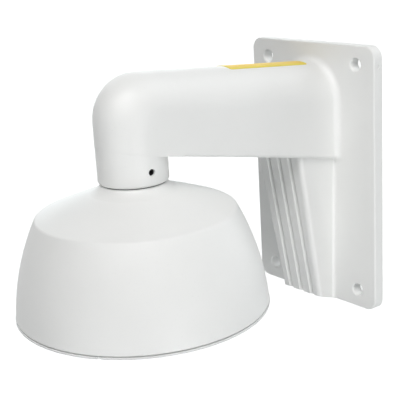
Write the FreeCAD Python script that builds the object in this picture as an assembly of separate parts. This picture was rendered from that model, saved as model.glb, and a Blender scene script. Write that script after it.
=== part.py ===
import FreeCAD, Part
import math
import os

# Camera wall bracket: a cast wall plate with a hollow arm, a fluted gusset and a round neck,
# a bell-shaped cap screwed into the neck, and a round camera plate in the mouth of the cap.
# Millimetres. The origin is the centre of the wall plate's back face. +Z is up, +Y goes into
# the wall and the arm reaches out along -Y.

V = FreeCAD.Vector
X_AXIS = V(1, 0, 0)
Y_AXIS = V(0, 1, 0)
Z_AXIS = V(0, 0, 1)

# Wall plate
PLATE_W = 114.0
PLATE_H = 181.0
PLATE_T = 7.8
PLATE_CORNER_R = 8.0
PLATE_EDGE_R = 1.2
PLATE_SKIN = 3.6
PLATE_RIM = 4.0
WALL_HOLE_EDGE_X = 16.0
WALL_HOLE_EDGE_Z = 12.5
WALL_HOLE_D = 8.5
WALL_HOLE_LEAD = 0.6
WALL_BOSS_D = 18.0
BACK_RIB_W = 3.0
BACK_RIB_Z = (-40.0, 48.0)
GATE_MARK_D = 2.6
GATE_MARK_DEPTH = 0.5
GATE_MARK_DROP = 13.0

# Arm, elbow and neck
REACH = 159.0
NECK_R = 21.6
NECK_DROP = 51.1
NECK_EDGE_R = 1.5
ELBOW_R = 27.0
ELBOW_FOOT_GAP = 1.0
ELBOW_FOOT_RUN = 1.2
TOP_SLOPE = 0.0931
ARM_TOP_DROP = 12.9
UNDER_SLOPE = 0.2067
ARM_DEPTH_AT_WALL = 64.6
ARM_HALF_W_WALL = 24.6
ARM_UNDER_R = 2.0
ARM_ROOT_R = 4.5
CASTING_WALL = 3.6
CASTING_INNER_R = 2.4

# Neck thread bore and set screw hole
BORE_R = 16.62
SET_SCREW_RISE = 8.5
SET_HOLE_R = 2.1
SET_SCREW_ANGLE = -3.6
SET_HOLE_LEAD = 0.35

# Fluted gusset below the arm
GUSSET_RUN_IN = 21.0
GUSSET_HALF_W_TOP = 22.0
GUSSET_HALF_W_BOTTOM = 18.3
GUSSET_FRONT_Y_TOP = -43.4
GUSSET_FRONT_Y_BOTTOM = -21.0
GUSSET_CORNER_R = 3.2
GUSSET_WALL = 3.2
GUSSET_FRONT_WALL = 5.4
GUSSET_ROOT_R = 2.0
TOE_RISE = 4.6
FLUTE_X = (-9.9, 0.5, 10.9)
FLUTE_DEPTH = 2.0
FLUTE_FLOOR_W = 1.2
FLUTE_MOUTH_W = 2.3
FLUTE_LIP = 0.9

# Cap: drops are measured down from the top of its collar
CAP_WALL = 3.0
CAP_H = 77.9
CAP_RIM_R = 78.5
CAP_RIM_EDGE_R = 0.7
CAP_SIDE_LEAN = 17.1
CAP_SIDE_BULGE = 3.1
CAP_SHOULDER_DROP = 18.3
CAP_SHOULDER_R = 2.0
CAP_TOP_CROWN = 0.25
CAP_COLLAR_R = 20.4
CAP_COLLAR_H = 0.5
CAP_FLARE_R = 26.6
CAP_FLARE_DROP = 5.5
CAP_FLARE_HOLLOW = 0.6
CAP_THROAT_DROP = 17.9
CAP_BOSS_R = 4.6
CAP_BOSS_INSET = 11.0
CAP_BOSS_H = 30.3
CAP_BOSS_WEB_W = 3.0
CAP_BOSS_HOLE_DEPTH = 13.0
CAP_BOSS_ANGLES = (90.0, 210.0, 330.0)
CAP_RIB_W = 2.4
CAP_RIB_ANGLES = (30.0, 90.0, 150.0, 210.0, 270.0, 330.0)
CAP_RIB_OUTER_R = 58.0
CAP_RIB_DROP = 6.0
SPIGOT_FIT = 0.22
SPIGOT_H = 14.1
SPIGOT_LEAD = 1.2
CABLE_BORE_R = 12.5

# Seals
NECK_SEAL_T = 0.6
NECK_SEAL_FIT = 0.2
NECK_SEAL_W = 3.0
RIM_SEAL_T = 0.5
RIM_SEAL_INSET = 1.3
RIM_SEAL_W = 1.4

# Camera plate
CAMERA_PLATE_PROUD = 0.3
CAMERA_PLATE_T = 1.3
CAMERA_PLATE_EDGE_R = 0.4
CAMERA_PLATE_BODY_T = 3.5
CAMERA_PLATE_MOUTH_FIT = 0.6
CAMERA_HOLE_PITCH_R = 49.0
CAMERA_HOLE_R = 2.1
CAMERA_HOLE_ANGLES = (30.0, 150.0, 270.0)
SIDE_HOLE_PITCH_R = 36.0
SIDE_HOLE_R = 2.1
SIDE_HOLE_ANGLES = (45.0, 135.0, 225.0, 315.0)
CAMERA_BOSS_R = 5.0
CAMERA_BOSS_H = 2.5
CABLE_HOLE_R = 20.0
CABLE_HOLE_LIP_H = 2.5
CABLE_HOLE_LIP_W = 2.5
EDGE_NOTCH_ANGLE = -54.0
EDGE_NOTCH_R = 1.1

# M4 countersunk screws of the camera plate
PLATE_SCREW_R = 2.0
PLATE_SCREW_HEAD_R = 4.0
PLATE_SCREW_LENGTH = 12.0
PLATE_SCREW_TIP = 0.5
PLATE_SCREW_SOCKET_AF = 2.5
PLATE_SCREW_SOCKET_DEPTH = 1.5
PLATE_SCREW_HOLE_FIT = 0.3
PLATE_SCREW_SINK = 0.15
SCREW_FIT = 0.1

# M4 set screw of the neck
SET_SCREW_FIT = 0.1
SET_SCREW_LENGTH = 4.0
SET_SCREW_TIP = 0.4
SET_SOCKET_AF = 2.0
SET_SOCKET_DEPTH = 2.0

# Strip label on top of the arm
LABEL_Y = (-85.5, -18.0)
LABEL_HALF_W = 8.2
LABEL_T = 0.25
LABEL_CORNER_R = 1.5

# Places that follow from the sizes above
ELBOW_STEPS = 9
PAST = 5.0
AXIS_Y = -REACH
WALL_HOLE_DX = PLATE_W - 2.0 * WALL_HOLE_EDGE_X
WALL_HOLE_DZ = PLATE_H - 2.0 * WALL_HOLE_EDGE_Z
GATE_MARK_Z = PLATE_H / 2.0 - GATE_MARK_DROP
TOP_Z_AT_WALL = PLATE_H / 2.0 - ARM_TOP_DROP
UNDER_Z_AT_WALL = TOP_Z_AT_WALL - ARM_DEPTH_AT_WALL
NECK_BOTTOM_Z = TOP_Z_AT_WALL - NECK_DROP
GUSSET_TOP_Z = UNDER_Z_AT_WALL + GUSSET_RUN_IN
SET_SCREW_Z = NECK_BOTTOM_Z + SET_SCREW_RISE
SET_SCREW_R = SET_HOLE_R - SET_SCREW_FIT
CAP_COLLAR_Z = NECK_BOTTOM_Z - NECK_SEAL_T
CAP_RIM_Z = CAP_COLLAR_Z - CAP_H
CAP_THROAT_BOTTOM_Z = CAP_COLLAR_Z - CAP_THROAT_DROP
SPIGOT_R = BORE_R - SPIGOT_FIT
SPIGOT_TOP_Z = CAP_COLLAR_Z + SPIGOT_H
RIM_SEAL_Z = CAP_RIM_Z - RIM_SEAL_T
CAMERA_PLATE_Z = RIM_SEAL_Z - CAMERA_PLATE_T
CAMERA_PLATE_TOP_Z = CAMERA_PLATE_Z + CAMERA_PLATE_BODY_T
CAMERA_PLATE_R = CAP_RIM_R + CAMERA_PLATE_PROUD
CAP_BOSS_SEAT_Z = CAMERA_PLATE_TOP_Z
CAP_BOSS_PITCH_R = CAP_RIM_R - CAP_BOSS_INSET


def top_z(y):
    return TOP_Z_AT_WALL + TOP_SLOPE * (-PLATE_T - y)


def under_z(y):
    return UNDER_Z_AT_WALL + UNDER_SLOPE * (-PLATE_T - y)


def lerp(a, b, t):
    return a + (b - a) * t


def smooth(t):
    t = min(max(t, 0.0), 1.0)
    return t * t * (3.0 - 2.0 * t)


def polygon_face(points):
    return Part.Face(Part.makePolygon([V(*p) for p in points] + [V(*points[0])]))


def cylinder(radius, z0, z1, x=0.0, y=AXIS_Y):
    return Part.makeCylinder(radius, z1 - z0, V(x, y, z0), Z_AXIS)


def ring(r_in, r_out, z0, z1):
    return cylinder(r_out, z0, z1).cut(cylinder(r_in, z0 - 1.0, z1 + 1.0))


def polar(radius, angle):
    a = math.radians(angle)
    return radius * math.cos(a), AXIS_Y + radius * math.sin(a)


def hexagon_prism(across_flats, depth):
    r = across_flats / math.sqrt(3.0)
    corners = [(r * math.cos(math.pi * k / 3.0), r * math.sin(math.pi * k / 3.0), 0.0) for k in range(6)]
    return polygon_face(corners).extrude(V(0, 0, depth))


def edges_where(shape, test):
    return [e for e in shape.Edges if test(e)]


def tube_sizes(grow):
    # The outside of the neck and arm, grown all round: neck radius, half width at the wall,
    # gap inside the top and floor lines, lower corner radius and elbow radius.
    return NECK_R + grow, ARM_HALF_W_WALL + grow, -grow, ARM_UNDER_R, ELBOW_R + grow


def cavity_sizes():
    skin = CASTING_WALL
    return BORE_R, ARM_HALF_W_WALL - skin, skin, CASTING_INNER_R, ELBOW_R - skin


def half_width(tube, y):
    # The arm's sides run from the neck's own width at its axis out to the wall.
    return lerp(tube[0], tube[1], (y - AXIS_Y) / (-PLATE_T - AXIS_Y))


def outer_reach(tube, y, z, theta):
    # Distance from a point to the outer line of the elbow: upright line, arc, then the arm's top.
    neck_r, _, skin, _, elbow_r = tube
    dy = -math.cos(theta)
    dz = math.sin(theta)
    slope = math.atan(TOP_SLOPE)
    wall_y = AXIS_Y - neck_r
    arc_y = wall_y + elbow_r
    arc_z = top_z(arc_y) - skin - elbow_r / math.cos(slope)
    if math.cos(theta) > 1e-6:
        s = (wall_y - y) / dy
        if z + s * dz <= arc_z:
            return s
    s = (top_z(y) - skin - z) / (dz + TOP_SLOPE * dy)
    if y + s * dy >= arc_y + elbow_r * math.sin(slope):
        return s
    cy = arc_y - y
    cz = arc_z - z
    along = cy * dy + cz * dz
    return along + math.sqrt(max(along * along - (cy * cy + cz * cz) + elbow_r * elbow_r, 0.0))


def section_wire(origin, v_dir, floor_w, side_w, crown_w, corner_r, crown_v, crown_h):
    # A closed round-topped section: flat floor, rounded lower corners, upright sides and a
    # round crown. u runs along X and v from the floor to the crown.
    def at(u, v):
        return origin + X_AXIS * u + v_dir * v

    floor = floor_w - corner_r
    bend = math.sqrt(0.5)
    mid_u = floor + corner_r * bend
    mid_v = corner_r * (1.0 - bend)
    right_arc = Part.Arc(at(floor, 0.0), at(mid_u, mid_v), at(side_w, corner_r))
    left_arc = Part.Arc(at(-side_w, corner_r), at(-mid_u, mid_v), at(-floor, 0.0))
    if crown_h > crown_w + 1e-6:
        ellipse = Part.Ellipse(at(0.0, crown_v + crown_h), at(-crown_w, crown_v), at(0.0, crown_v))
        crown = Part.ArcOfEllipse(ellipse, -math.pi / 2.0, math.pi / 2.0)
    else:
        crown = Part.Arc(at(crown_w, crown_v), at(0.0, crown_v + crown_w), at(-crown_w, crown_v))
    return Part.Wire([Part.makeLine(at(-floor, 0.0), at(floor, 0.0)), right_arc.toShape(),
                      Part.makeLine(at(side_w, corner_r), at(crown_w, crown_v)), crown.toShape(),
                      Part.makeLine(at(-crown_w, crown_v), at(-side_w, corner_r)), left_arc.toShape()])


def elbow_foot_y(tube, t):
    # The elbow's sections stand on the arm's floor, in a short row beside the neck.
    return AXIS_Y + tube[0] + ELBOW_FOOT_GAP + ELBOW_FOOT_RUN * t


def swung_wire(tube, t):
    # A section of the elbow, which swings from the plane of the arm's floor to upright. Up to
    # the end of the neck's outer wall its crown is the neck's own cylinder, cut aslant.
    neck_r, _, skin, corner_r, elbow_r = tube
    theta = lerp(math.atan(UNDER_SLOPE), math.pi / 2.0, t)
    y = elbow_foot_y(tube, t)
    z = under_z(y) + skin
    wall_y = AXIS_Y - neck_r
    bend_z = top_z(wall_y + elbow_r) - skin - elbow_r / math.cos(math.atan(TOP_SLOPE))
    upright_end = math.atan2(bend_z - z, y - wall_y)
    if theta <= upright_end:
        crown_h = neck_r / math.cos(theta)
    else:
        share = smooth((theta - upright_end) / (math.pi / 2.0 - upright_end))
        crown_h = lerp(neck_r / math.cos(upright_end), half_width(tube, y), share)
    crown_v = outer_reach(tube, y, z, theta) - crown_h
    crown_y = max(y - crown_v * math.cos(theta), AXIS_Y)
    side_w = half_width(tube, y - corner_r * math.cos(theta))
    return section_wire(V(0, y, z), V(0, -math.cos(theta), math.sin(theta)), half_width(tube, y), side_w,
                        half_width(tube, crown_y), corner_r, crown_v, crown_h)


def arm_wire(tube, y):
    # An upright section of the straight arm.
    half_w = half_width(tube, y)
    z = under_z(y) + tube[2]
    crown_v = top_z(y) - tube[2] - z - half_w
    return section_wire(V(0, y, z), Z_AXIS, half_w, half_w, half_w, tube[3], crown_v, half_w)


def round_neck(tube, neck_z):
    # The neck's cylinder, up to the slanting plane of the arm's floor.
    wide = tube[0] + PAST
    near = AXIS_Y + wide
    far = AXIS_Y - wide
    near_z = under_z(near) + tube[2]
    far_z = under_z(far) + tube[2]
    points = ((-wide, near, neck_z), (-wide, near, near_z), (-wide, far, far_z), (-wide, far, neck_z))
    below = polygon_face(points).extrude(V(2.0 * wide, 0, 0))
    return cylinder(tube[0], neck_z, far_z).common(below)


def arm_tube(tube, neck_z, end_y):
    # Round neck, lofted elbow and tapered arm.
    elbow = Part.makeLoft([swung_wire(tube, k / ELBOW_STEPS) for k in range(ELBOW_STEPS + 1)], True, False)
    straight = Part.makeLoft([arm_wire(tube, elbow_foot_y(tube, 1.0)), arm_wire(tube, end_y)], True, True)
    return round_neck(tube, neck_z).fuse([elbow, straight])


def neck_edge_cutter():
    # Rounds the lower edge of the neck.
    r = NECK_R
    e = NECK_EDGE_R
    z = NECK_BOTTOM_Z
    d = e * (1.0 - math.sqrt(0.5))
    arc = Part.Arc(V(r - e, 0, z), V(r - d, 0, z + d), V(r + 0.05, 0, z + e)).toShape()
    edges = [arc, line((r + 0.05, z + e), (r + 3.0, z + e)), line((r + 3.0, z + e), (r + 3.0, z - 1.0)),
             line((r + 3.0, z - 1.0), (r - e, z - 1.0)), line((r - e, z - 1.0), (r - e, z))]
    return revolve(edges)


def gusset_rise(z):
    # 0 at the foot of the plate, 1 at the top of the gusset.
    return (z + PLATE_H / 2.0) / (GUSSET_TOP_Z + PLATE_H / 2.0)


def gusset_half_w(z):
    return lerp(GUSSET_HALF_W_BOTTOM, GUSSET_HALF_W_TOP, gusset_rise(z))


def gusset_front_y(z):
    return lerp(GUSSET_FRONT_Y_BOTTOM, GUSSET_FRONT_Y_TOP, gusset_rise(z))


def gusset_wire(z, side_inset, front_inset, back_y, corner_r, root_r):
    # A level section of the gusset, flared where it meets the plate.
    w = gusset_half_w(z) - side_inset
    y = gusset_front_y(z) + front_inset
    c = corner_r * (1.0 - math.sqrt(0.5))
    d = root_r * (1.0 - math.sqrt(0.5))
    front_end = y + corner_r
    root_y = -PLATE_T
    edges = [Part.makeLine(V(-w + corner_r, y, z), V(w - corner_r, y, z))]
    for side in (1, -1):
        corner = Part.Arc(V(side * (w - corner_r), y, z), V(side * (w - c), y + c, z),
                          V(side * w, front_end, z))
        edges.append(corner.toShape())
        out = w
        if root_r > 0.0:
            out = w + root_r
            edges.append(Part.makeLine(V(side * w, front_end, z), V(side * w, root_y - root_r, z)))
            edges.append(Part.Arc(V(side * w, root_y - root_r, z), V(side * (w + d), root_y - d, z),
                                  V(side * out, root_y, z)).toShape())
            edges.append(Part.makeLine(V(side * out, root_y, z), V(side * out, back_y, z)))
        else:
            edges.append(Part.makeLine(V(side * w, front_end, z), V(side * w, back_y, z)))
    edges.append(Part.makeLine(V(out, back_y, z), V(-out, back_y, z)))
    return Part.Wire(Part.__sortEdges__(edges))


def gusset_block(z0, z1, side_inset, front_inset, back_y, corner_r, root_r=0.0):
    wires = [gusset_wire(z, side_inset, front_inset, back_y, corner_r, root_r) for z in (z0, z1)]
    return Part.makeLoft(wires, True, True)


def flute_cutter(x):
    # A groove with bevelled lips, run down the sloping front of the gusset.
    z0 = -PLATE_H / 2.0 - 2.0 * PAST
    z1 = GUSSET_TOP_Z + PAST
    slope = (gusset_front_y(z1) - gusset_front_y(z0)) / (z1 - z0)
    mouth = FLUTE_MOUTH_W / 2.0
    lip = mouth + FLUTE_LIP
    floor = FLUTE_FLOOR_W / 2.0
    over = 1.0
    profile = ((-lip - over, -over), (lip + over, -over), (mouth, FLUTE_LIP), (floor, FLUTE_DEPTH),
               (-floor, FLUTE_DEPTH), (-mouth, FLUTE_LIP))
    y0 = gusset_front_y(z0)
    face = polygon_face([(x + u, y0 + d, z0) for u, d in profile])
    return face.extrude(V(0, slope * (z1 - z0), z1 - z0))


def toe_cutter():
    # The wedge below the foot of the gusset, which slopes up away from the wall.
    bottom = -PLATE_H / 2.0
    run = -PLATE_T - GUSSET_FRONT_Y_BOTTOM
    out = run + PAST
    rise = TOE_RISE / run
    wide = PLATE_W
    points = ((-wide, -PLATE_T, bottom), (-wide, -PLATE_T - out, bottom + rise * out),
              (-wide, -PLATE_T - out, bottom - PAST), (-wide, -PLATE_T, bottom - PAST))
    return polygon_face(points).extrude(V(2.0 * wide, 0, 0))


def gusset_solid():
    block = gusset_block(-PLATE_H / 2.0, GUSSET_TOP_Z, 0.0, 0.0, -2.0, GUSSET_CORNER_R, GUSSET_ROOT_R)
    block = block.cut(toe_cutter())
    for x in FLUTE_X:
        block = block.cut(flute_cutter(x))
    return block


def gusset_pocket():
    z0 = -PLATE_H / 2.0 + TOE_RISE + GUSSET_WALL
    pocket = gusset_block(z0, GUSSET_TOP_Z, GUSSET_WALL, GUSSET_FRONT_WALL, 2.0, 2.0)
    wide = PLATE_W
    skin = CASTING_WALL
    near = PAST
    far = AXIS_Y
    roof = ((-wide, near, under_z(near) - skin), (-wide, far, under_z(far) - skin),
            (-wide, far, PLATE_H), (-wide, near, PLATE_H))
    # The floor of the arm closes the top of the pocket.
    floor_gap = polygon_face(roof).extrude(V(2.0 * wide, 0, 0))
    return pocket.cut(floor_gap)


def rounded_slab(width, height, y0, y1, radius):
    box = Part.makeBox(width, y1 - y0, height, V(-width / 2.0, y0, -height / 2.0))
    upright = edges_where(box, lambda e: abs(e.tangentAt(e.FirstParameter).y) > 0.99)
    return box.makeFillet(radius, upright)


def wall_plate():
    slab = rounded_slab(PLATE_W, PLATE_H, -PLATE_T, 0.0, PLATE_CORNER_R)
    front = edges_where(slab, lambda e: e.BoundBox.YMax < 1e-4 - PLATE_T)
    return slab.makeFillet(PLATE_EDGE_R, front)


def wall_hole_places():
    return [(sx * WALL_HOLE_DX / 2.0, sz * WALL_HOLE_DZ / 2.0) for sz in (-1, 1) for sx in (-1, 1)]


def back_recess():
    # The hollow back of the plate, with bosses round the screw holes and stiffening ribs.
    inner_w = PLATE_W - 2.0 * PLATE_RIM
    inner_h = PLATE_H - 2.0 * PLATE_RIM
    floor_y = -PLATE_T + PLATE_SKIN
    recess = rounded_slab(inner_w, inner_h, floor_y, 1.0, PLATE_CORNER_R - PLATE_RIM)
    for x, z in wall_hole_places():
        boss = Part.makeCylinder(WALL_BOSS_D / 2.0, PLATE_T + PAST, V(x, floor_y - 1.0, z), Y_AXIS)
        recess = recess.cut(boss)
    for z in BACK_RIB_Z:
        corner = V(-PLATE_W / 2.0, floor_y - 1.0, z - BACK_RIB_W / 2.0)
        recess = recess.cut(Part.makeBox(PLATE_W, PLATE_T + PAST, BACK_RIB_W, corner))
    return recess


def wall_hole_cutters():
    cutters = []
    for x, z in wall_hole_places():
        r = WALL_HOLE_D / 2.0
        hole = Part.makeCylinder(r, PLATE_T + 2.0 * PAST, V(x, -PLATE_T - PAST, z), Y_AXIS)
        lead = Part.makeCone(r + WALL_HOLE_LEAD, r, WALL_HOLE_LEAD, V(x, -PLATE_T, z), Y_AXIS)
        cutters.append(hole.fuse(lead))
    return cutters


def turned(shape, angle):
    shape.rotate(V(0, AXIS_Y, 0), Z_AXIS, angle)
    return shape


def set_hole_cutter():
    start = V(BORE_R - SET_HOLE_R, AXIS_Y, SET_SCREW_Z)
    hole = Part.makeCylinder(SET_HOLE_R, NECK_R - BORE_R + SET_HOLE_R + PAST, start, X_AXIS)
    mouth = V(NECK_R - SET_HOLE_LEAD, AXIS_Y, SET_SCREW_Z)
    lead = Part.makeCone(SET_HOLE_R, SET_HOLE_R + 2.0 * SET_HOLE_LEAD, 2.0 * SET_HOLE_LEAD, mouth, X_AXIS)
    return turned(hole.fuse(lead), SET_SCREW_ANGLE)


def arm_with_root():
    # Plate, arm and gusset in one, with the arm's root rounded into the plate's face.
    outer = arm_tube(tube_sizes(0.0), NECK_BOTTOM_Z, -PLATE_T / 3.0).cut(neck_edge_cutter())
    body = wall_plate().fuse(outer)
    root = edges_where(body, lies_on_plate_face)
    body = body.makeFillet(ARM_ROOT_R, root)
    return body.fuse(gusset_solid())


def lies_on_plate_face(edge):
    box = edge.BoundBox
    flat = abs(box.YMin + PLATE_T) < 0.02 and abs(box.YMax + PLATE_T) < 0.02
    return flat and box.XMin > -WALL_HOLE_DX / 2.0 and box.XMax < WALL_HOLE_DX / 2.0


def make_wall_arm():
    body = arm_with_root()
    body = body.cut(back_recess().cut(arm_shadow()))
    body = body.cut([arm_tube(cavity_sizes(), NECK_BOTTOM_Z - PAST, PAST), gusset_pocket()])
    mark_floor = V(PLATE_W / 2.0 - GATE_MARK_DEPTH, -PLATE_T / 2.0, GATE_MARK_Z)
    mark = Part.makeCylinder(GATE_MARK_D / 2.0, PAST, mark_floor, X_AXIS)
    body = body.cut(wall_hole_cutters() + [set_hole_cutter(), mark])
    return body


def arm_shadow():
    # What stays solid behind the arm and the gusset inside the hollow back of the plate.
    arm_wall = Part.Face(arm_wire(tube_sizes(0.0), -PLATE_T)).extrude(V(0, PLATE_T + PAST, 0))
    gusset = gusset_block(-PLATE_H / 2.0, GUSSET_TOP_Z, 0.0, 0.0, PAST, GUSSET_CORNER_R)
    return arm_wall.fuse(gusset)


def bulged_arc(a, b, bulge):
    # Centre, radius and middle point of the arc from a to b that swells outwards from its chord.
    chord = math.hypot(b[0] - a[0], b[1] - a[1])
    radius = (chord * chord / 4.0 + bulge * bulge) / (2.0 * bulge)
    nr = (a[1] - b[1]) / chord
    nz = (b[0] - a[0]) / chord
    mid_r = (a[0] + b[0]) / 2.0
    mid_z = (a[1] + b[1]) / 2.0
    deep = radius - bulge
    return (mid_r - nr * deep, mid_z - nz * deep), radius, (mid_r + nr * bulge, mid_z + nz * bulge)


def arc_edge(a, middle, b):
    return Part.Arc(V(a[0], 0, a[1]), V(middle[0], 0, middle[1]), V(b[0], 0, b[1])).toShape()


def arc_on(centre, radius, a, b):
    # The arc from a to b on a known circle.
    from_angle = math.atan2(a[1] - centre[1], a[0] - centre[0])
    to_angle = math.atan2(b[1] - centre[1], b[0] - centre[0])
    half = (from_angle + to_angle) / 2.0
    middle = (centre[0] + radius * math.cos(half), centre[1] + radius * math.sin(half))
    return arc_edge(a, middle, b)


def circles_meet(centre_a, radius_a, centre_b, radius_b):
    # The meeting point of two circles that lies farther from the cap's axis.
    dr = centre_b[0] - centre_a[0]
    dz = centre_b[1] - centre_a[1]
    apart = math.hypot(dr, dz)
    along = (apart * apart + radius_a * radius_a - radius_b * radius_b) / (2.0 * apart)
    across = math.sqrt(radius_a * radius_a - along * along)
    r = centre_a[0] + along * dr / apart
    z = centre_a[1] + along * dz / apart
    step_r = across * dz / apart
    step_z = across * dr / apart
    return max((r - step_r, z + step_z), (r + step_r, z - step_z))


def revolve(edges):
    face = Part.Face(Part.Wire(Part.__sortEdges__(edges)))
    solid = face.revolve(V(0, 0, 0), Z_AXIS, 360.0)
    solid.translate(V(0, AXIS_Y, 0))
    return solid


def line(a, b):
    return Part.makeLine(V(a[0], 0, a[1]), V(b[0], 0, b[1]))


def level_rings(shape, point):
    # The round edges of a turned body at one radius and height.
    def fits(edge):
        box = edge.BoundBox
        level = box.ZLength < 0.01 and abs(box.ZMin - point[1]) < 0.01
        return level and abs(box.XMax - point[0]) < 0.05

    return edges_where(shape, fits)


def cap_shell():
    # The bell: outside and inside turned as solids, the shoulder rounded, then hollowed.
    top = (0.0, CAP_COLLAR_Z)
    collar = (CAP_COLLAR_R, CAP_COLLAR_Z)
    collar_low = (CAP_COLLAR_R, CAP_COLLAR_Z - CAP_COLLAR_H)
    flare = (CAP_FLARE_R, CAP_COLLAR_Z - CAP_FLARE_DROP)
    shoulder = (CAP_RIM_R - CAP_SIDE_LEAN, CAP_COLLAR_Z - CAP_SHOULDER_DROP)
    rim = (CAP_RIM_R, CAP_RIM_Z)
    flare_middle = bulged_arc(flare, collar_low, CAP_FLARE_HOLLOW)[2]
    top_centre, top_r, top_middle = bulged_arc(flare, shoulder, CAP_TOP_CROWN)
    side_centre, side_r, side_middle = bulged_arc(shoulder, rim, CAP_SIDE_BULGE)
    outer = revolve([line((0.0, CAP_RIM_Z), top), line(top, collar), line(collar, collar_low),
                     arc_edge(collar_low, flare_middle, flare), arc_edge(flare, top_middle, shoulder),
                     arc_edge(shoulder, side_middle, rim), line(rim, (0.0, CAP_RIM_Z))])
    outer = outer.makeFillet(CAP_SHOULDER_R, level_rings(outer, shoulder))
    outer = outer.makeFillet(CAP_RIM_EDGE_R, level_rings(outer, rim))
    # The inside runs on circles about the same centres, a wall's thickness smaller.
    top_r -= CAP_WALL
    side_r -= CAP_WALL
    ceiling_r = CAP_COLLAR_R + 1.0
    ceiling = (ceiling_r, top_centre[1] + math.sqrt(top_r ** 2 - (ceiling_r - top_centre[0]) ** 2))
    corner = circles_meet(top_centre, top_r, side_centre, side_r)
    mouth = (side_centre[0] + math.sqrt(side_r ** 2 - (CAP_RIM_Z - side_centre[1]) ** 2), CAP_RIM_Z)
    below = (mouth[0], CAP_RIM_Z - PAST)
    inner = revolve([line((0.0, below[1]), (0.0, ceiling[1])), line((0.0, ceiling[1]), ceiling),
                     arc_on(top_centre, top_r, ceiling, corner), arc_on(side_centre, side_r, corner, mouth),
                     line(mouth, below), line(below, (0.0, below[1]))])
    return outer.cut(inner), inner


def make_cap():
    shell, inside = cap_shell()
    spigot = cylinder(SPIGOT_R, CAP_THROAT_BOTTOM_Z, SPIGOT_TOP_Z)
    top_edge = edges_where(spigot, lambda e: e.BoundBox.ZMin > SPIGOT_TOP_Z - 0.01)
    spigot = spigot.makeChamfer(SPIGOT_LEAD, top_edge)
    extras = [spigot]
    rib_parts = []
    for angle in CAP_RIB_ANGLES:
        corner = V(0, AXIS_Y - CAP_RIB_W / 2.0, CAP_THROAT_BOTTOM_Z - CAP_RIB_DROP)
        rib = Part.makeBox(CAP_RIB_OUTER_R, CAP_RIB_W, CAP_THROAT_DROP + CAP_RIB_DROP, corner)
        rib_parts.append(turned(rib, angle))
    for angle in CAP_BOSS_ANGLES:
        x, y = polar(CAP_BOSS_PITCH_R, angle)
        boss = cylinder(CAP_BOSS_R, CAP_BOSS_SEAT_Z, CAP_BOSS_SEAT_Z + CAP_BOSS_H, x, y)
        web = Part.makeBox(CAP_BOSS_INSET, CAP_BOSS_WEB_W, CAP_BOSS_H,
                           V(CAP_BOSS_PITCH_R, AXIS_Y - CAP_BOSS_WEB_W / 2.0, CAP_BOSS_SEAT_Z))
        rib_parts.append(boss)
        rib_parts.append(turned(web, angle))
    inner_parts = [p.common(inside) for p in rib_parts]
    cap = shell.fuse(extras + inner_parts)
    cuts = [cylinder(CABLE_BORE_R, CAP_THROAT_BOTTOM_Z - CAP_RIB_DROP - PAST, SPIGOT_TOP_Z + PAST)]
    for angle in CAP_BOSS_ANGLES:
        x, y = polar(CAP_BOSS_PITCH_R, angle)
        hole_top = CAP_BOSS_SEAT_Z + CAP_BOSS_HOLE_DEPTH
        cuts.append(cylinder(PLATE_SCREW_R + SCREW_FIT, CAP_BOSS_SEAT_Z - 1.0, hole_top, x, y))
    return cap.cut(cuts)


def make_neck_seal():
    r_in = BORE_R + NECK_SEAL_FIT
    return ring(r_in, r_in + NECK_SEAL_W, CAP_COLLAR_Z, NECK_BOTTOM_Z)


def make_rim_seal():
    r_out = CAP_RIM_R - RIM_SEAL_INSET
    return ring(r_out - RIM_SEAL_W, r_out, RIM_SEAL_Z, CAP_RIM_Z)


def make_camera_plate():
    # A stepped disc: its thin edge shows below the cap, its thicker body sits in the mouth.
    z0 = CAMERA_PLATE_Z
    z1 = CAMERA_PLATE_TOP_Z
    edge = cylinder(CAMERA_PLATE_R, z0, RIM_SEAL_Z)
    rims = edges_where(edge, lambda e: e.BoundBox.ZLength < 0.01 and e.Length > 10.0)
    edge = edge.makeFillet(CAMERA_PLATE_EDGE_R, rims)
    body = cylinder(CAP_RIM_R - CAP_WALL - CAMERA_PLATE_MOUTH_FIT, z0 + CAMERA_PLATE_T / 2.0, z1)
    lip = ring(CABLE_HOLE_R, CABLE_HOLE_R + CABLE_HOLE_LIP_W, z1 - 0.5, z1 + CABLE_HOLE_LIP_H)
    parts = [body, lip]
    past_top = z1 + max(CABLE_HOLE_LIP_H, CAMERA_BOSS_H) + PAST
    cuts = [cylinder(CABLE_HOLE_R, z0 - 1.0, past_top)]
    for angle in CAMERA_HOLE_ANGLES:
        x, y = polar(CAMERA_HOLE_PITCH_R, angle)
        parts.append(cylinder(CAMERA_BOSS_R, z1 - 0.5, z1 + CAMERA_BOSS_H, x, y))
        cuts.append(cylinder(CAMERA_HOLE_R, z0 - 1.0, past_top, x, y))
    for angle in SIDE_HOLE_ANGLES:
        x, y = polar(SIDE_HOLE_PITCH_R, angle)
        cuts.append(cylinder(SIDE_HOLE_R, z0 - 1.0, past_top, x, y))
    for angle in CAP_BOSS_ANGLES:
        x, y = polar(CAP_BOSS_PITCH_R, angle)
        cuts.append(cylinder(PLATE_SCREW_R + PLATE_SCREW_HOLE_FIT, z0 - 1.0, past_top, x, y))
        head_r = PLATE_SCREW_HEAD_R + PLATE_SCREW_SINK + SCREW_FIT
        cuts.append(Part.makeCone(head_r, 0.0, head_r, V(x, y, z0), Z_AXIS))
    x, y = polar(CAMERA_PLATE_R, EDGE_NOTCH_ANGLE)
    cuts.append(cylinder(EDGE_NOTCH_R, z0 - 1.0, RIM_SEAL_Z + 1.0, x, y))
    return edge.fuse(parts).cut(cuts)


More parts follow.
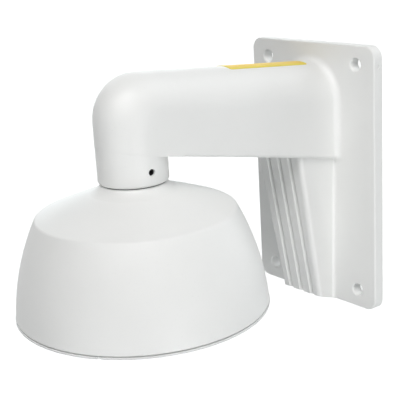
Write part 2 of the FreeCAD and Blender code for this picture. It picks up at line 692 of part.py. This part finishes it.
def make_plate_screws():
    solids = []
    for angle in CAP_BOSS_ANGLES:
        x, y = polar(CAP_BOSS_PITCH_R, angle)
        z0 = CAMERA_PLATE_Z + PLATE_SCREW_SINK
        foot = V(x, y, z0)
        head_h = PLATE_SCREW_HEAD_R - PLATE_SCREW_R
        head = Part.makeCone(PLATE_SCREW_HEAD_R, PLATE_SCREW_R, head_h, foot, Z_AXIS)
        shank = Part.makeCylinder(PLATE_SCREW_R, PLATE_SCREW_LENGTH, foot, Z_AXIS)
        tip = edges_where(shank, lambda e: e.BoundBox.ZMin > z0 + PLATE_SCREW_LENGTH - 0.01)
        shank = shank.makeChamfer(PLATE_SCREW_TIP, tip)
        socket = hexagon_prism(PLATE_SCREW_SOCKET_AF, PLATE_SCREW_SOCKET_DEPTH + 1.0)
        socket.translate(V(x, y, z0 - 1.0))
        solids.append(head.fuse(shank).cut(socket))
    return Part.makeCompound(solids)


def make_set_screw():
    # Socket outwards, cup point against the spigot of the cap.
    start = SPIGOT_R
    body = Part.makeCylinder(SET_SCREW_R, SET_SCREW_LENGTH, V(start, AXIS_Y, SET_SCREW_Z), X_AXIS)
    ends = edges_where(body, lambda e: e.BoundBox.XLength < 0.01)
    body = body.makeChamfer(SET_SCREW_TIP, ends)
    socket = hexagon_prism(SET_SOCKET_AF, SET_SOCKET_DEPTH + 1.0)
    socket.rotate(V(0, 0, 0), Y_AXIS, 90.0)
    socket.translate(V(start + SET_SCREW_LENGTH - SET_SOCKET_DEPTH, AXIS_Y, SET_SCREW_Z))
    return turned(body.cut(socket), SET_SCREW_ANGLE)


def arm_length(grow):
    # The straight part of the arm, grown outwards all round.
    tube = tube_sizes(grow)
    return Part.makeLoft([arm_wire(tube, elbow_foot_y(tube, 1.0)), arm_wire(tube, -PLATE_T)], True, True)


def make_label():
    # A thin strip that follows the round top of the arm.
    corner = V(-LABEL_HALF_W, LABEL_Y[0], UNDER_Z_AT_WALL)
    slab = Part.makeBox(2.0 * LABEL_HALF_W, LABEL_Y[1] - LABEL_Y[0], PLATE_H, corner)
    corners = edges_where(slab, lambda e: abs(e.tangentAt(e.FirstParameter).z) > 0.99)
    strip = slab.makeFillet(LABEL_CORNER_R, corners).cut(arm_length(0.0)).common(arm_length(LABEL_T))
    return max(strip.Solids, key=lambda solid: solid.CenterOfMass.z)


def export(name, shape):
    shape.exportStep(os.path.join("parts", name + ".step"))
    print(name, "valid", shape.isValid(), "solids", len(shape.Solids), "volume", round(shape.Volume))


def main():
    os.makedirs("parts", exist_ok=True)
    export("wall_arm", make_wall_arm())
    export("cap", make_cap())
    export("neck_seal", make_neck_seal())
    export("neck_set_screw", make_set_screw())
    export("rim_seal", make_rim_seal())
    export("camera_plate", make_camera_plate())
    export("plate_screws", make_plate_screws())
    export("arm_label", make_label())


main()
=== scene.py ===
import math

import bpy
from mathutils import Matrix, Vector


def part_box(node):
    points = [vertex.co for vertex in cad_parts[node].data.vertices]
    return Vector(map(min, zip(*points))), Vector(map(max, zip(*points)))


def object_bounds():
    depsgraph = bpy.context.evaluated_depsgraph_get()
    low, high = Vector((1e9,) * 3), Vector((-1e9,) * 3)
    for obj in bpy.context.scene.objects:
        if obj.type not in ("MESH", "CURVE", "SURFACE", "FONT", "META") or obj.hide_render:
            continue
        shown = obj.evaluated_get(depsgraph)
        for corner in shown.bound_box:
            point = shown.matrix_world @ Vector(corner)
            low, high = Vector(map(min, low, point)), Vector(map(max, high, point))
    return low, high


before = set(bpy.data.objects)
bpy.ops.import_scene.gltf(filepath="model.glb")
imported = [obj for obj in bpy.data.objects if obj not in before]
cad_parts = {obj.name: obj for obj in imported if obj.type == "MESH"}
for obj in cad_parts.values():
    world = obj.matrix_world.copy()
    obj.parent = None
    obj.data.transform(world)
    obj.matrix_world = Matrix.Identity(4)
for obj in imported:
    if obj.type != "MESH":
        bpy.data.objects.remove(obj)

CAD_LOW, CAD_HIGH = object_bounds()
MM = 0.001
WHITE = (1.0, 1.0, 1.0)

# Camera: where the photograph was taken from, in metres and degrees.
CAMERA_AT = (0.460256, -0.472084, 0.176254)
CAMERA_AZIMUTH = 51.7593
CAMERA_ELEVATION = 16.5209
CAMERA_ROLL = -3.3975
FOCAL_PIXELS = 958.358
IMAGE_PIXELS = 400.0
SENSOR_MM = 36.0

# Lamps stand at one distance from the object's middle, in metres. Each is: name, direction, diameter, watts,
# colour.
LAMP_DISTANCE = 1.7
LAMPS = (
    ("key", (0.55, -0.5, 0.95), 0.8, 11.2, (1.0, 0.99, 0.985)),
    ("front_up", (0.3, -0.8, 0.9), 1.3, 9.9, (1.0, 0.995, 0.99)),
    ("front_low", (0.3, -1.0, -0.4), 1.0, 2.2, (0.93, 0.98, 1.0)),
    ("right_up", (0.8, 0.0, 0.9), 1.0, 1.9, WHITE),
    ("right_low", (1.0, -0.14, -0.48), 0.8, 10.2, (0.98, 0.995, 1.0)),
    ("left_up", (-0.7, -0.1, 0.75), 0.4, 1.4, (0.96, 0.995, 1.0)),
    ("left_back", (-1.0, 0.5, 0.3), 1.3, 5.1, (0.88, 0.98, 1.0)),
    ("back_up", (0.2, 0.8, 0.9), 1.3, 4.3, (0.97, 0.99, 1.0)),
    ("behind", (0.25, 1.0, 0.2), 1.0, 4.0, (0.97, 0.99, 1.0)),
)

# The world's soft light, strongest from straight behind the object and weak from straight in front.
WORLD_BEHIND = 1.12
WORLD_IN_FRONT = 0.11
WORLD_COLOUR = (0.93, 0.98, 1.0)

# The floor glows only where it is seen, and less near the object, so that the shadow shows. The glow rises
# with the distance from the origin, in metres.
FLOOR_Z = -0.95
FLOOR_SIZE = 40.0
FLOOR_DARK = (0.78, 0.78, 0.78)
FLOOR_LIGHT = (0.82, 0.82, 0.82)
FLOOR_ROUGHNESS = 0.9
FLOOR_SPECULAR = 0.1
GLOW_NEAR = 0.78
GLOW_FAR = 1.0
GLOW_RISES_FROM = 1.1
GLOW_RISES_TO = 3.0

# Noise patterns: cells a metre, detail and roughness.
COAT_CLOUD = (14.0, 3.0, 0.5)
COAT_SPECK = (900.0, 2.0, 0.6)
COAT_PEEL = (1500.0, 2.0, 0.5)
COAT_WAVE = (240.0, 2.0, 0.5)
RUBBER_GRAIN = (900.0, 3.0, 0.5)
RUBBER_CLOUD = (60.0, 2.0, 0.5)
STEEL_SCRATCH = (2600.0, 2.0, 0.7)
STEEL_CLOUD = (220.0, 2.0, 0.5)
FILM_GRAIN = (700.0, 2.0, 0.5)
FILM_CLOUD = (60.0, 2.0, 0.5)
FLOOR_CLOUD = (3.0, 2.0, 0.5)

# Most of a noise lies between these two values.
NOISE_LOW = 0.3
NOISE_HIGH = 0.7

# An edge counts in full where its rounded and its true normal are this cosine apart.
EDGE_BEND = 0.75
EDGE_SAMPLES = 6

# Powder coat: colours in linear light, and how cloud, specks and edges change them.
COAT = (0.82, 0.822, 0.81)
# The camera plate's coat is darker than the arm's: painted shade for the shadow on its edge under the cap.
PLATE_COAT_PAINTED_SHADE = (0.72, 0.725, 0.72)
COAT_IOR = 1.5
COAT_SPECULAR = 0.5
COAT_ROUGHNESS = (0.39, 0.45)
COAT_CLOUD_BETWEEN = (0.35, 0.65)
COAT_CLOUD_SHADES = (0.975, 1.015)
COAT_SPECK_BETWEEN = (0.62, 0.75)
COAT_SPECK_SHARE = 0.35
COAT_SPECK_SHADE = 0.90
COAT_EDGE_RADIUS = 0.6 * MM
COAT_EDGE_SHARE = 0.25
# The coat's lighter edges are a painted sheen.
COAT_EDGE_SHEEN = 1.06
COAT_EDGE_POLISH = 0.06
COAT_PEEL_BUMP = (0.12, 0.10 * MM)
COAT_WAVE_BUMP = (0.05, 0.20 * MM)

# Rubber: a darker and a lighter colour for each seal.
NECK_RUBBER = ((0.045, 0.046, 0.047), (0.07, 0.07, 0.072))
# The rim seal is nearly white as painted light, lifting the shade of the groove it sits in.
RIM_RUBBER_PAINTED_LIGHT = ((0.86, 0.87, 0.87), (0.90, 0.91, 0.91))
RUBBER_ROUGHNESS = (0.62, 0.82)
RUBBER_EDGE_RADIUS = 0.3 * MM
RUBBER_EDGE_SHARE = 0.3
RUBBER_EDGE_SHADE = 1.4
RUBBER_BUMP = (0.2, 0.05 * MM)

# Steel: a darker and a lighter colour, and the range of the roughness.
BLACK_STEEL = ((0.02, 0.02, 0.02), (0.05, 0.05, 0.05), (0.39, 0.53))
BRIGHT_STEEL = ((0.50, 0.50, 0.49), (0.62, 0.62, 0.60), (0.24, 0.38))
STEEL_EDGE_RADIUS = 0.25 * MM
STEEL_EDGE_SHARE = 0.5
STEEL_EDGE_SHADE = 1.3
STEEL_BUMP = (0.15, 0.03 * MM)

# Label film: a yellow border round an amber field.
FILM_YELLOW = (0.80, 0.66, 0.07)
FILM_AMBER = (0.84, 0.60, 0.11)
FILM_BORDER = 2.0 * MM
FILM_SHADES = (0.95, 1.04)
FILM_SPECULAR = 0.3
FILM_ROUGHNESS = (0.42, 0.52)
FILM_EDGE_RADIUS = 0.4 * MM
FILM_EDGE_SHARE = 0.3
FILM_EDGE_SHADE = 0.8
FILM_BUMP = (0.05, 0.03 * MM)


def rgba(colour):
    # A socket stays as it is, and a colour gets its alpha.
    return colour if isinstance(colour, bpy.types.NodeSocket) else (*colour, 1.0)


def shade(colour, factor):
    return tuple(min(1.0, part * factor) for part in colour)


class Nodes:
    """A short way to write a node tree."""

    def __init__(self, tree):
        self.tree = tree
        tree.nodes.clear()

    def put(self, value, target):
        # A socket is linked to the target, and anything else is set on it.
        if isinstance(value, bpy.types.NodeSocket):
            self.tree.links.new(value, target)
        else:
            target.default_value = value

    def node(self, kind, inputs=None, **settings):
        made = self.tree.nodes.new(kind)
        for name, value in settings.items():
            setattr(made, name, value)
        for key, value in (inputs or {}).items():
            self.put(value, made.inputs[key])
        return made

    def calculate(self, operation, a, b=0.0):
        return self.node("ShaderNodeMath", {0: a, 1: b}, operation=operation).outputs[0]

    def as_seen(self, light, backdrop):
        # The backdrop's shader is for the rays that show it: from the camera, mirrored or through glass.
        ray = self.node("ShaderNodeLightPath").outputs
        seen = self.calculate("MAXIMUM", ray["Is Camera Ray"], ray["Is Glossy Ray"])
        seen = self.calculate("MAXIMUM", seen, ray["Is Transmission Ray"])
        return self.node("ShaderNodeMixShader", {0: seen, 1: light, 2: backdrop}).outputs[0]


class Finish(Nodes):
    """A material with one Principled shader."""

    def __init__(self, name):
        self.material = bpy.data.materials.new(name)
        self.material.use_nodes = True
        super().__init__(self.material.node_tree)
        self.shader = self.node("ShaderNodeBsdfPrincipled")
        self.surface = self.shader.outputs["BSDF"]
        self.output = self.node("ShaderNodeOutputMaterial", {"Surface": self.surface})
        self.place = self.node("ShaderNodeTexCoord").outputs["Object"]

    def give(self, **values):
        for name, value in values.items():
            self.put(value, self.shader.inputs[name.replace("_", " ")])

    def noise(self, pattern):
        scale, detail, roughness = pattern
        inputs = {"Vector": self.place, "Scale": scale, "Detail": detail, "Roughness": roughness}
        return self.node("ShaderNodeTexNoise", inputs).outputs["Fac"]

    def span(self, value, low, high, to_low, to_high):
        inputs = {"Value": value, "From Min": low, "From Max": high, "To Min": to_low, "To Max": to_high}
        return self.node("ShaderNodeMapRange", inputs).outputs["Result"]

    def roughness(self, noise, between):
        return self.span(noise, NOISE_LOW, NOISE_HIGH, *between)

    def blend(self, share, colour_a, colour_b):
        # The Mix node keeps its share at 0, its colours at 6 and 7, and their blend at output 2.
        inputs = {0: share, 6: rgba(colour_a), 7: rgba(colour_b)}
        return self.node("ShaderNodeMix", inputs, data_type="RGBA").outputs[2]

    def cloudy(self, noise, colour, shades):
        # The colour wanders between a darker and a lighter shade of itself.
        dark, light = (shade(colour, factor) for factor in shades)
        return self.blend(noise, dark, light)

    def edge(self, radius):
        # 0 on flat stretches, rising to 1 on sharp outer and inner edges.
        rounded = self.node("ShaderNodeBevel", {"Radius": radius}, samples=EDGE_SAMPLES)
        sharp = self.node("ShaderNodeNewGeometry")
        inputs = {0: rounded.outputs["Normal"], 1: sharp.outputs["Normal"]}
        bend = self.node("ShaderNodeVectorMath", inputs, operation="DOT_PRODUCT")
        return self.span(bend.outputs["Value"], 1.0, EDGE_BEND, 0.0, 1.0)

    def edge_wear_and_sheen(self, tone, edge, share, colour):
        # Moves the tone towards another colour on the edges: wear on the seals, screws and label, painted
        # sheen on the coat.
        return self.blend(self.calculate("MULTIPLY", edge, share), tone, colour)

    def bump(self, *layers):
        # Layers are (height, strength, distance in metres).
        normal = None
        for height, strength, distance in layers:
            inputs = {"Height": height, "Strength": strength, "Distance": distance}
            if normal is not None:
                inputs["Normal"] = normal
            normal = self.node("ShaderNodeBump", inputs).outputs["Normal"]
        self.give(Normal=normal)


def powder_coat(name, colour):
    # Fine orange peel with a faint cloudiness, shinier on the edges, where a painted sheen also makes it a
    # little lighter.
    n = Finish(name)
    cloud = n.noise(COAT_CLOUD)
    edge = n.edge(COAT_EDGE_RADIUS)
    tone = n.cloudy(n.span(cloud, *COAT_CLOUD_BETWEEN, 0.0, 1.0), colour, COAT_CLOUD_SHADES)
    specks = n.span(n.noise(COAT_SPECK), *COAT_SPECK_BETWEEN, 0.0, COAT_SPECK_SHARE)
    tone = n.blend(specks, tone, shade(colour, COAT_SPECK_SHADE))
    # Painted sheen: the edges are lightened towards a paler shade of the coat.
    tone = n.edge_wear_and_sheen(tone, edge, COAT_EDGE_SHARE, shade(colour, COAT_EDGE_SHEEN))
    polish = n.calculate("MULTIPLY", edge, COAT_EDGE_POLISH)
    rough = n.calculate("SUBTRACT", n.roughness(cloud, COAT_ROUGHNESS), polish)
    n.give(Base_Color=tone, Roughness=rough, IOR=COAT_IOR, Specular_IOR_Level=COAT_SPECULAR)
    n.bump((n.noise(COAT_PEEL), *COAT_PEEL_BUMP), (n.noise(COAT_WAVE), *COAT_WAVE_BUMP))
    return n.material


def seal_rubber(name, dark, light):
    # Matt and finely grained, a little lighter on the edges.
    n = Finish(name)
    grain = n.noise(RUBBER_GRAIN)
    tone = n.blend(n.noise(RUBBER_CLOUD), dark, light)
    tone = n.edge_wear_and_sheen(tone, n.edge(RUBBER_EDGE_RADIUS), RUBBER_EDGE_SHARE, shade(light, RUBBER_EDGE_SHADE))
    n.give(Base_Color=tone, Roughness=n.roughness(grain, RUBBER_ROUGHNESS))
    n.bump((grain, *RUBBER_BUMP))
    return n.material


def screw_steel(name, dark, light, rough):
    # Steel with fine scratches, brighter where the edges are rubbed.
    n = Finish(name)
    scratch = n.noise(STEEL_SCRATCH)
    tone = n.blend(n.noise(STEEL_CLOUD), dark, light)
    tone = n.edge_wear_and_sheen(tone, n.edge(STEEL_EDGE_RADIUS), STEEL_EDGE_SHARE, shade(light, STEEL_EDGE_SHADE))
    n.give(Base_Color=tone, Roughness=n.roughness(scratch, rough), Metallic=1.0)
    n.bump((scratch, *STEEL_BUMP))
    return n.material


def label_film(name):
    # Plain film in two colours. The field is 1 inside the border, measured from the strip's own box.
    n = Finish(name)
    low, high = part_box("arm_label")
    place = n.node("ShaderNodeSeparateXYZ", {0: n.place}).outputs
    field = 1.0
    for axis in (0, 1):
        middle = (low[axis] + high[axis]) / 2.0
        reach = (high[axis] - low[axis]) / 2.0 - FILM_BORDER
        off = n.calculate("ABSOLUTE", n.calculate("SUBTRACT", place[axis], middle))
        field = n.calculate("MULTIPLY", field, n.calculate("LESS_THAN", off, reach))
    cloud = n.noise(FILM_CLOUD)
    yellow = n.cloudy(cloud, FILM_YELLOW, FILM_SHADES)
    amber = n.cloudy(cloud, FILM_AMBER, FILM_SHADES)
    tone = n.blend(field, yellow, amber)
    tone = n.edge_wear_and_sheen(tone, n.edge(FILM_EDGE_RADIUS), FILM_EDGE_SHARE, shade(FILM_YELLOW, FILM_EDGE_SHADE))
    n.give(Base_Color=tone, Roughness=n.roughness(cloud, FILM_ROUGHNESS), Specular_IOR_Level=FILM_SPECULAR)
    n.bump((n.noise(FILM_GRAIN), *FILM_BUMP))
    return n.material


def dress(node, material):
    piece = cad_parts[node]
    piece.data.materials.clear()
    piece.data.materials.append(material)


def make_camera():
    a, e, r = (math.radians(x) for x in (CAMERA_AZIMUTH, CAMERA_ELEVATION, CAMERA_ROLL))
    back = Vector((math.sin(a) * math.cos(e), -math.cos(a) * math.cos(e), math.sin(e)))
    level = Vector((math.cos(a), math.sin(a), 0.0))
    upright = back.cross(level)
    right = level * math.cos(r) + upright * math.sin(r)
    up = upright * math.cos(r) - level * math.sin(r)
    data = bpy.data.cameras.new("camera")
    data.sensor_width = SENSOR_MM
    data.lens = FOCAL_PIXELS * SENSOR_MM / IMAGE_PIXELS
    camera = bpy.data.objects.new("camera", data)
    bpy.context.scene.collection.objects.link(camera)
    matrix = camera.matrix_world.copy()
    for column, axis in enumerate((right, up, back, Vector(CAMERA_AT))):
        for row in range(3):
            matrix[row][column] = axis[row]
    camera.matrix_world = matrix
    bpy.context.scene.camera = camera


def make_world():
    # From each side the light falls off as the square of the direction's part along Y.
    world = bpy.data.worlds.new("studio")
    bpy.context.scene.world = world
    world.use_nodes = True
    n = Nodes(world.node_tree)
    direction = n.node("ShaderNodeTexCoord").outputs["Generated"]
    along_y = n.node("ShaderNodeSeparateXYZ", {0: direction}).outputs["Y"]
    total = 0.0
    for side, strength in ((1.0, WORLD_BEHIND), (-1.0, WORLD_IN_FRONT)):
        facing = n.calculate("MAXIMUM", n.calculate("MULTIPLY", along_y, side), 0.0)
        share = n.calculate("MULTIPLY", n.calculate("MULTIPLY", facing, facing), strength)
        total = n.calculate("ADD", share, total)
    light = n.node("ShaderNodeBackground", {"Color": rgba(WORLD_COLOUR), "Strength": total})
    backdrop = n.node("ShaderNodeBackground", {"Color": rgba(WHITE), "Strength": 1.0})
    n.node("ShaderNodeOutputWorld", {"Surface": n.as_seen(light.outputs[0], backdrop.outputs[0])})


def make_floor():
    half = FLOOR_SIZE / 2.0
    mesh = bpy.data.meshes.new("floor_mesh")
    corners = [(x * half, y * half, FLOOR_Z) for x, y in ((-1, -1), (1, -1), (1, 1), (-1, 1))]
    mesh.from_pydata(corners, [], [(0, 1, 2, 3)])
    floor = bpy.data.objects.new("floor", mesh)
    bpy.context.scene.collection.objects.link(floor)
    n = Finish("floor_mat")
    tone = n.blend(n.noise(FLOOR_CLOUD), FLOOR_DARK, FLOOR_LIGHT)
    n.give(Base_Color=tone, Roughness=FLOOR_ROUGHNESS, Specular_IOR_Level=FLOOR_SPECULAR)
    away = n.node("ShaderNodeVectorMath", {0: n.place}, operation="LENGTH").outputs["Value"]
    strength = n.span(away, GLOW_RISES_FROM, GLOW_RISES_TO, GLOW_NEAR, GLOW_FAR)
    glow = n.node("ShaderNodeEmission", {"Color": rgba(WHITE), "Strength": strength})
    glowing = n.node("ShaderNodeAddShader", {0: n.surface, 1: glow.outputs["Emission"]})
    n.put(n.as_seen(n.surface, glowing.outputs[0]), n.output.inputs["Surface"])
    mesh.materials.append(n.material)


def make_lamps():
    centre = (CAD_LOW + CAD_HIGH) / 2.0
    for name, direction, diameter, watts, colour in LAMPS:
        data = bpy.data.lights.new(name + "_lamp", "AREA")
        data.shape = "DISK"
        data.size = diameter
        data.energy = watts
        data.color = colour
        lamp = bpy.data.objects.new(name + "_lamp", data)
        bpy.context.scene.collection.objects.link(lamp)
        away = Vector(direction).normalized()
        lamp.location = centre + away * LAMP_DISTANCE
        lamp.rotation_mode = "QUATERNION"
        lamp.rotation_quaternion = away.to_track_quat("Z", "Y")
        lamp.visible_camera = False


make_camera()
make_world()
make_floor()
make_lamps()
dress("wall_arm", powder_coat("arm_coat_mat", COAT))
dress("cap", powder_coat("cap_coat_mat", COAT))
# The camera plate gets the darker coat, whose darkness is painted shade.
dress("camera_plate", powder_coat("plate_coat_painted_shade_mat", PLATE_COAT_PAINTED_SHADE))
dress("neck_seal", seal_rubber("neck_rubber_mat", *NECK_RUBBER))
# The rim seal's pale colour is painted light against the shade in its groove.
dress("rim_seal", seal_rubber("rim_rubber_painted_light_mat", *RIM_RUBBER_PAINTED_LIGHT))
dress("neck_set_screw", screw_steel("black_steel_mat", *BLACK_STEEL))
dress("plate_screws", screw_steel("screw_steel_mat", *BRIGHT_STEEL))
dress("arm_label", label_film("label_film_mat"))

bpy.context.scene.view_settings.view_transform = "Standard"
